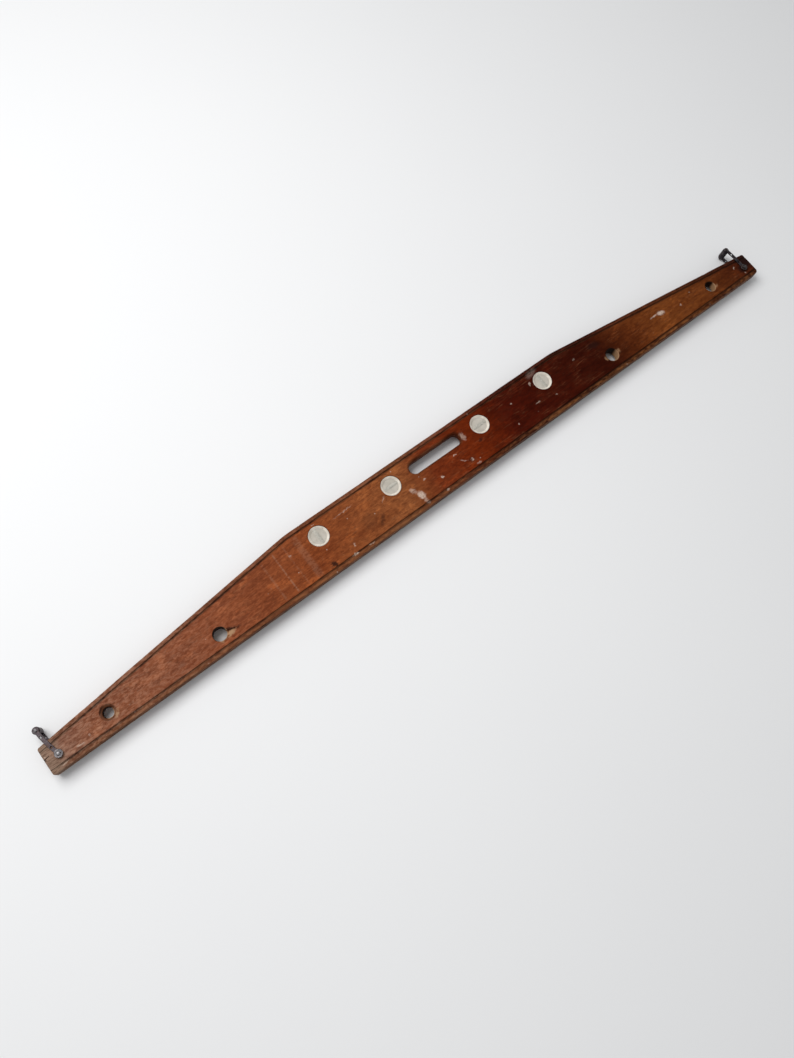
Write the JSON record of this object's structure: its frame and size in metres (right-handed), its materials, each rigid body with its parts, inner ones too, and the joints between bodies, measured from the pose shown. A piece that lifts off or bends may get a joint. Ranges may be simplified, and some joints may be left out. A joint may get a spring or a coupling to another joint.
{
  "type": "mason's level",
  "caption": "Long tapered wooden level board with round plaster-set vial windows, a hand slot, through-holes and a swinging steel stirrup at each end.",
  "frame": {"origin": "the middle of the bounding box in X and Y, at the height of the rear rivet heads it rests on", "axes": "+X along the board to the end drawn at the right, +Y across it from the straight working edge to the tapered edge, +Z out of the front face; the level lies on its back"},
  "size_m": [1.2192, 0.0806, 0.0256],
  "materials": {
    "wood": "worn oil and shellac over dark red-brown mahogany",
    "plaster": "matt cast plaster, aged cream",
    "vial_glass": "clear, slightly dusty",
    "vial_seal": "matt cement",
    "spirit": "clear liquid",
    "stirrup_iron": "dark oxidised iron, slightly oily",
    "rivet_steel": "darkened steel",
    "washer_steel": "worn grey steel"
  },
  "bodies": {
    "board": {"board": "wood", "left_plumb_plaster": "plaster", "left_plumb_vial": "vial_glass", "left_plumb_vial_seal": "vial_seal", "left_plumb_spirit": "spirit", "left_level_plaster": "plaster", "left_level_vial": "vial_glass", "left_level_vial_seal": "vial_seal", "left_level_spirit": "spirit", "left_pivot_rivet": "rivet_steel", "left_front_washer": "washer_steel", "left_rear_washer": "washer_steel", "right_plumb_plaster": "plaster", "right_plumb_vial": "vial_glass", "right_plumb_vial_seal": "vial_seal", "right_plumb_spirit": "spirit", "right_level_plaster": "plaster", "right_level_vial": "vial_glass", "right_level_vial_seal": "vial_seal", "right_level_spirit": "spirit", "right_pivot_rivet": "rivet_steel", "right_front_washer": "washer_steel", "right_rear_washer": "washer_steel"},
    "left_stirrup": {"left_front_arm": "stirrup_iron", "left_rear_arm": "stirrup_iron", "left_cross_pin": "washer_steel"},
    "left_roller": {"left_roller": "stirrup_iron"},
    "right_stirrup": {"right_front_arm": "stirrup_iron", "right_rear_arm": "stirrup_iron", "right_cross_pin": "washer_steel"},
    "right_roller": {"right_roller": "stirrup_iron"}
  },
  "joints": [
    {"name": "left_stirrup_swing", "type": "hinge", "parent": "board", "child": "left_stirrup", "pos_m": [-0.592, -0.0223, 0.0128], "axis": [0, 0, 1], "range_deg": [-51, 221]},
    {"name": "left_roller_spin", "type": "hinge", "parent": "left_stirrup", "child": "left_roller", "pos_m": [-0.59941, 0.01548, 0.0128], "axis": [0, 0, 1], "continuous": true},
    {"name": "right_stirrup_swing", "type": "hinge", "parent": "board", "child": "right_stirrup", "pos_m": [0.592, -0.0223, 0.0128], "axis": [0, 0, -1], "range_deg": [-38, 234]},
    {"name": "right_roller_spin", "type": "hinge", "parent": "right_stirrup", "child": "right_roller", "pos_m": [0.59113, 0.01619, 0.0128], "axis": [0, 0, 1], "continuous": true}
  ]
}
